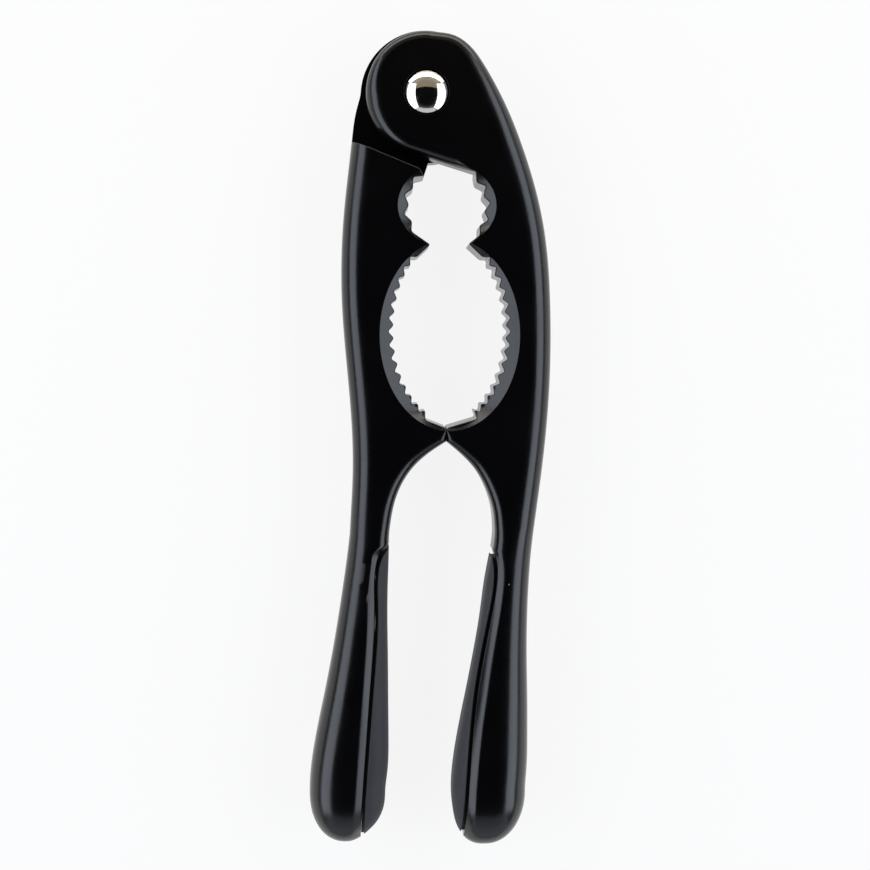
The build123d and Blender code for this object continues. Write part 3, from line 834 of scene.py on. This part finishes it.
def plate_sheets(arm, plan):
    """The full jaw of one arm, with heights counted from the middle plane towards the face with the lug."""
    side = arm["side"]
    flank_round, between_round, upper_round = [np.interp(plan[part][:, 1], *arm["flank_round"])
                                               for part in ("lower", "between", "upper")]
    lug_round = np.interp(plan["angles"], *arm["lug_round"])
    edge_round = np.linspace(lug_round[-1], arm["lug_edge_round"], len(plan["lug_edge"]) + 1)[1:]
    edge_round = np.minimum(edge_round, TOOTH_ROUND + EDGE_TAPER * np.arange(len(edge_round))[::-1])
    arch_round = np.interp(plan["arch_run"], [0, NOSE_TO_ARCH], [NOSE_ROUND, ARCH_ROUND])
    shared = np.concatenate([[plan["joint"]], plan["teeth"], [plan["nose_end"]], plan["arch"]])
    tooth_round = edge_rounding(np.concatenate([[plan["joint"]], plan["teeth"], [plan["nose_end"]]]))
    shared_round = np.concatenate([tooth_round[:1], tooth_round, [NOSE_ROUND], arch_round])

    lug_plan = np.concatenate([plan["lower"], plan["between"][1:-1], plan["upper"], plan["lug"][1:],
                               plan["lug_edge"], plan["before_joint"], shared])
    lug_radius = np.concatenate([flank_round, between_round[1:-1], upper_round, lug_round[1:], edge_round,
                                 np.full(len(plan["before_joint"]), TOOTH_ROUND), shared_round])
    direction = inward(lug_plan, side)
    direction[0], direction[-1] = (-side, 0), (side, 0)
    top_rings = strip(lug_plan, direction, lug_radius)

    # the step's plan: flank, then the step itself, whose first stations climb the flank's quarter round
    climb = plan["foot"] + plan["across"] * (FLANK_ROUND * INSET)[:, None]
    step_plan = np.concatenate([climb, [plan["bend"]], shared])
    step_radius = np.concatenate([np.full(len(climb) + 1, STEP_ROUND), shared_round])
    step_direction = inward(step_plan, side)
    step_direction[:len(climb)] = plan["skew"]
    step_direction[-1] = direction[-1]
    step_rings = strip(step_plan, step_direction, step_radius)
    step_rings[:len(climb)] = strip(climb, step_direction[:len(climb)], step_radius[:len(climb)],
                                    HALF - FLANK_ROUND * DROP)
    flank_direction = inward(plan["lower"], side)
    flank_direction[0] = direction[0]
    turn_in = np.arange(len(flank_direction)) - len(flank_direction) + TURN_IN
    turn_in = np.clip(turn_in / (TURN_IN - 1), 0, 1)[:, None]
    flank_direction = flank_direction * (1 - turn_in) + plan["across"] * turn_in
    flank_rings = strip(plan["lower"], flank_direction, flank_round)

    step_rings, flank_rings = flip(step_rings, -1), flip(flank_rings, -1)
    sheets = [as_sheet(rings) for rings in (top_rings, step_rings, flank_rings)]
    # walls from the edge strips to the lap's height
    for border, line in [(top_rings[:, 0], lug_plan), (flank_rings[:, 0], plan["lower"]),
                         (step_rings[:, 0], step_plan), (step_rings[0, ::-1], plan["between"])]:
        sheets.append(wall(border, lift(line, LAP)))

    # the two faces and the lap
    neck = neck_line(top_rings[0, -1, :2], top_rings[-1, -1, :2])
    lug_loop = np.concatenate([top_rings[:, -1, :2], neck])
    hole = circle(HEAD_RECESS + RECESS_EDGE if side > 0 else BORE)
    corners, faces = fill(lug_loop, [hole], dish_lines(lug_loop))
    sheets.append((np.column_stack([corners, face_height(corners)]), faces))
    step_loop = np.concatenate([flank_rings[:, -1, :2], step_rings[len(climb):, -1, :2], neck])
    corners, faces = fill(step_loop, [], dish_lines(step_loop))
    sheets.append((np.column_stack([corners, -face_height(corners)]), faces))
    first, last = len(plan["lower"]) + len(plan["between"]) - 2, len(lug_plan) - len(shared)
    lap_loop = np.concatenate([lug_plan[first:last + 1], step_plan[1:len(step_plan) - len(shared)][::-1]])
    corners, faces = fill(lap_loop, [circle(BORE)])
    sheets.append((lift(corners, LAP), faces))
    bore = [(BORE, LAP), (BORE, HALF)]
    if side > 0:
        floor = HALF - HEAD_RECESS_DEPTH
        bore = [(BORE, LAP), (BORE, floor), (HEAD_RECESS, floor)]
        bore += list(zip(HEAD_RECESS + RECESS_EDGE * INSET, HALF - RECESS_EDGE * DROP))
    sheets.append(turned(bore))
    return sheets


# %% [markdown]
# ## The handles
# A handle is a rounded rectangle whose sides, depth and corner radii change slowly from the neck to the
# bulb, and close at the tip like the end of an egg. On the finger side it is cut off along the seam, where
# the insert begins. Every row has as many points, so one grid covers the whole handle.

# %% Handle rows
HANDLE_ROWS, TIP_ROWS = 96, 20
OUTER_ROUND, INNER_ROUND, ROUNDING_RUN = 8.0, 6.0, 40.0
LEAST_FLAT, ROUNDED_SHARE = 0.3, 0.9    # the corners leave this flat, unless that costs them over a tenth
ROUND_SHARE = 0.95          # no corner is rounder than this share of the half depth
SEAM_EDGE = 0.3             # broken edge along the seam
SEAM_ROLL = 2.3             # the skin rolls down towards the seam over this much of its width
ROLL_SLOPE, ROLL_START = 0.5, 0.12      # its slope, and how softly it starts
ROLL_LEAD = 0.4             # the dense rows of points begin this much before it
SEAM_SAMPLES, BEYOND = 600, 99
SEAM_STEPS = 4


def handle_rows(arm, plan):
    """For each row: y, outer side, inner side, half depth and both corner radii. Splines through the
    stations down to the bulb, then for an angle t: y by sin t, and each side by cos t to its power."""
    stations = np.array([(NECK_Y, arm["flank"][0][0], arm["arch"][-1][0], HALF)] + arm["stations"])
    depth = -stations[:, 0]
    slopes = [(plan["lower"][0] - plan["lower"][1]), (plan["arch"][-1] - plan["arch"][-2])]
    first = np.array([run[0] / -run[1] for run in slopes] + [0.0])
    where = np.linspace(depth[0], depth[-1], HANDLE_ROWS)
    body = spline_at(depth, stations[:, 1:], where, first, np.zeros(3))
    angle = np.linspace(0, math.pi / 2, TIP_ROWS)[1:]
    tip_x, tip_y = arm["tip"]
    power = np.array(arm["fullness"])
    centre = np.array([tip_x, tip_x, 0.0])
    tip = centre + (stations[-1, 1:] - centre) * np.maximum(np.cos(angle), 0)[:, None] ** power
    y = np.concatenate([-where, stations[-1, 0] + (tip_y - stations[-1, 0]) * np.sin(angle)])
    outer, inner, half = np.concatenate([body, tip]).T
    share = np.minimum(1, (NECK_Y - y) / ROUNDING_RUN)
    width = np.maximum(np.abs(inner - outer) - LEAST_FLAT, ROUNDED_SHARE * np.abs(inner - outer))
    ro = FLANK_ROUND + share * (OUTER_ROUND - FLANK_ROUND)
    ri = ARCH_ROUND + share * (INNER_ROUND - ARCH_ROUND)
    outer_round = np.minimum.reduce([ro, ROUND_SHARE * half, width * ro / (ro + ri)])
    inner_round = np.minimum.reduce([ri, ROUND_SHARE * half, width - outer_round])
    return y, outer, inner, half, outer_round, inner_round


def seam_x(arm, y, drop=0.0):
    """Where the seam crosses each y, from a spline through its points."""
    points = np.array(arm["seam"], float) - (0, drop)
    knots = chords(points)
    fine = spline_at(knots, points, np.linspace(0, knots[-1], SEAM_SAMPLES))
    return np.interp(-y, -fine[:, 1], fine[:, 0], left=-arm["side"] * BEYOND, right=fine[-1, 0])


def handle_sheet(arm, plan):
    """The handle's skin as one closed grid of rows, with the cut along the seam as its inner side."""
    side = arm["side"]
    y, outer, inner, half, ro, ri = handle_rows(arm, plan)
    cut = np.clip(side * (seam_x(arm, y) - inner), 0, ri)       # how far the seam lies inside the handle
    edge = SEAM_EDGE * np.clip(cut / (2 * SEAM_EDGE), 0, 1)
    x, z = [], []
    for inset, drop in zip(INSET, DROP):
        x.append(outer - side * ro * inset)
        z.append(half - ro * drop)
    # how far in from the finger side: where the flat ends, where the skin turns down, and where it stops
    flat_from, stop = side * (outer - inner) - ro, cut + edge
    bend_from = np.minimum(np.maximum(ri, np.where(cut > 0, cut + SEAM_ROLL + ROLL_LEAD, 0)), flat_from)
    for share in np.linspace(0, 1, NECK_POINTS)[1:-1]:
        x.append(inner + side * (flat_from + (bend_from - flat_from) * share))
        z.append(half)
    for turn in TURN[::-1]:
        depth = stop + (bend_from - stop) * (1 - math.cos(turn))
        x.append(inner + side * depth)
        z.append(half - ri + np.sqrt(np.maximum(ri ** 2 - np.maximum(ri - depth, 0) ** 2, 0)))
    last_x, last_z = x[-1], z[-1]
    for turn in np.linspace(0, math.pi / 2, SEAM_STEPS)[1:]:
        x.append(last_x - side * edge * math.sin(turn))
        z.append(last_z - edge * (1 - math.cos(turn)))
    x, z = np.array(x), np.array(z)
    past = np.maximum(SEAM_ROLL - side * (x - (inner + side * cut)), 0) * np.clip(cut / SEAM_ROLL, 0, 1)
    z = z - (np.hypot(ROLL_START, past * ROLL_SLOPE) - ROLL_START)
    wall_height = z[-1] / z[-1][0] * LAP
    side_height = z[0] / z[0][0] * LAP
    loop_x = np.concatenate([x, x[-1:], x[::-1], x[:1]])
    loop_z = np.concatenate([z, wall_height[None], -z[::-1], side_height[None]])
    grid = np.stack([loop_x.T, np.repeat(y[:, None], len(loop_x), axis=1), loop_z.T], -1)
    return as_sheet(grid, closed=True)


def make_arm(name):
    arm, plan = ARMS[name], plans[name]
    sheets = plate_sheets(arm, plan) + [handle_sheet(arm, plan)]
    placed = [(flip(points, arm["side"]) + (0, 0, MIDDLE), faces) for points, faces in sheets]
    make_piece(name + "_cast_arm", placed, name + "_arm", arm["body"])


for name in ARMS:
    make_arm(name)

# %% [markdown]
# ## The grip inserts
# Each insert is moulded in place: a dark groove shows along the seam, and under it the rubber reaches the
# handle's wall. Its skin lies a little lower than the handle's, and both ends run out to a point.

# %% Inserts
SEAM_GAP, SEAM_END_GAP, GRIP_INSET = 0.7, 0.4, 0.6
GROOVE_DEPTH = 1.5
FINE_ROWS, GRIP_ROWS, GRIP_STEPS = 4000, 110, 14
GRIP_EDGE, LEAST_ROUND = 0.25, 1.0
END_WIDTH = 0.3             # the insert's two ends are this wide
WALL_PLAY = 0.03


def make_insert(name):
    """Rows across the insert: from its finger side over the rounded front to the groove, down to the ledge,
    and the same at the rear. Inset d from the finger side, a corner of radius r has sunk by
    r - sqrt(r^2 - (r - d)^2)."""
    arm, plan = ARMS[name], plans[name]
    side = arm["side"]
    y, outer, inner, half, ro, ri = handle_rows(arm, plan)
    dense = np.linspace(y[0], y[-1], FINE_ROWS)
    columns = [np.interp(-dense, -y, column) for column in (inner, half, ri)]
    thick = side * (seam_x(arm, dense, SEAM_END_GAP) - columns[0]) - SEAM_GAP
    there = np.flatnonzero(thick > END_WIDTH)
    ends = dense[there[0]], dense[there[-1]]
    share = (1 - np.cos(np.linspace(0, math.pi, GRIP_ROWS))) / 2
    row = ends[0] + (ends[1] - ends[0]) * share
    inner, half, ri = [np.interp(-row, -dense, column) for column in columns]
    thick = np.interp(-row, -dense, thick)
    half, ri = half - GRIP_INSET, np.maximum(ri - GRIP_INSET, LEAST_ROUND)
    ri = np.minimum(ri, ROUND_SHARE * half)
    edge = np.minimum(GRIP_EDGE, thick / 3)

    def skin(inset):
        return half - ri + np.sqrt(np.maximum(ri ** 2 - (ri - np.minimum(inset, ri)) ** 2, 0))

    depth, height = [], []
    for turn in np.linspace(0, math.pi / 2, GRIP_STEPS):
        depth.append((thick - edge) * (1 - math.cos(turn)))
        height.append(skin(depth[-1]))
    for turn in np.linspace(0, math.pi / 2, SEAM_STEPS)[1:]:
        depth.append(thick - edge + edge * math.sin(turn))
        height.append(skin(thick - edge) - edge * (1 - math.cos(turn)))
    wall_depth = side * (seam_x(arm, row) - inner) - WALL_PLAY
    ledge = height[-1] - np.minimum(GROOVE_DEPTH, height[-1] / 2)
    depth += [thick, wall_depth]
    height += [ledge, ledge]
    depth, height = np.array(depth), np.array(height)
    loop_x = inner + side * np.concatenate([depth, depth[::-1]])
    loop_z = np.concatenate([height, -height[::-1]])
    grid = np.stack([loop_x.T, np.repeat(row[:, None], len(loop_x), axis=1), loop_z.T + MIDDLE], -1)
    points, faces = as_sheet(grid, closed=True)
    count = len(loop_x)
    closing = [list(range(count)), list(range(len(points) - count, len(points)))]
    make_piece(name + "_rubber_insert", [(points, faces), (points, np.array(closing))],
               name + "_grip_insert", arm["body"])


for name in ARMS:
    make_insert(name)

# %% [markdown]
# ## The rivet and its washers
# All three are turned shapes: a profile carried round the pivot. Each corner of a profile gets a small
# radius, as a real edge has, which catches a fine line of light.

# %% Turned pieces
TURNED_COUNT, DOME_ROWS = 128, 40
HEAD, SHANK, TAIL = 4.9, 2.5, 4.2           # radii of the rivet
HEAD_RIM, DOME, TAIL_TOP = 0.5, 1.9, 1.1    # heights of the rim, of the dome over it and of the tail
TAIL_CHAMFER, RIVET_EDGE = 0.3, 0.15
LAP_WASHER = {"radius": 7.0, "low": MIDDLE + LAP - 0.5, "high": MIDDLE + LAP, "edge": 0.08}
REAR_WASHER = {"radius": 5.2, "low": TAIL_TOP, "high": TAIL_TOP + 0.8, "edge": 0.15}


def softened(profile, cut):
    """A profile of radii and heights whose corners are cut by small parabolas."""
    steps = rounded(np.array(profile, float), cut)
    return steps[np.concatenate([[True], np.linalg.norm(np.diff(steps, axis=0), axis=1) > MERGE])]


def make_rivet():
    """Head, shank and tail in one profile. The dome is a sphere over the head's rim, and its radius is
    (head^2 + dome^2) / (2 dome)."""
    seat = MIDDLE + HALF - HEAD_RECESS_DEPTH
    sphere = (HEAD ** 2 + DOME ** 2) / (2 * DOME)
    angle = np.linspace(0, math.asin(HEAD / sphere), DOME_ROWS)
    cap = np.stack([sphere * np.sin(angle), seat + HEAD_RIM + DOME - sphere + sphere * np.cos(angle)], -1)
    lower = [(HEAD, seat), (SHANK, seat), (SHANK, TAIL_TOP), (TAIL, TAIL_TOP), (TAIL, TAIL_CHAMFER),
             (TAIL - TAIL_CHAMFER, 0), (0, 0)]
    profile = np.concatenate([cap[:-1], softened([cap[-1]] + lower, RIVET_EDGE)])
    make_piece("polished_rivet", [turned(profile, TURNED_COUNT)], "pivot_rivet", "right_lever")


def make_washer(name, node, radius, low, high, edge):
    """A flat ring with softened edges, closed on itself."""
    middle = (low + high) / 2
    ring = [(BORE, middle), (BORE, high), (radius, high), (radius, low), (BORE, low), (BORE, middle)]
    make_piece(name, [turned(softened(ring, edge), TURNED_COUNT)], node, "right_lever")


make_rivet()
make_washer("nylon_lap_washer", "lap_washer", **LAP_WASHER)
make_washer("stamped_rear_washer", "rear_washer", **REAR_WASHER)
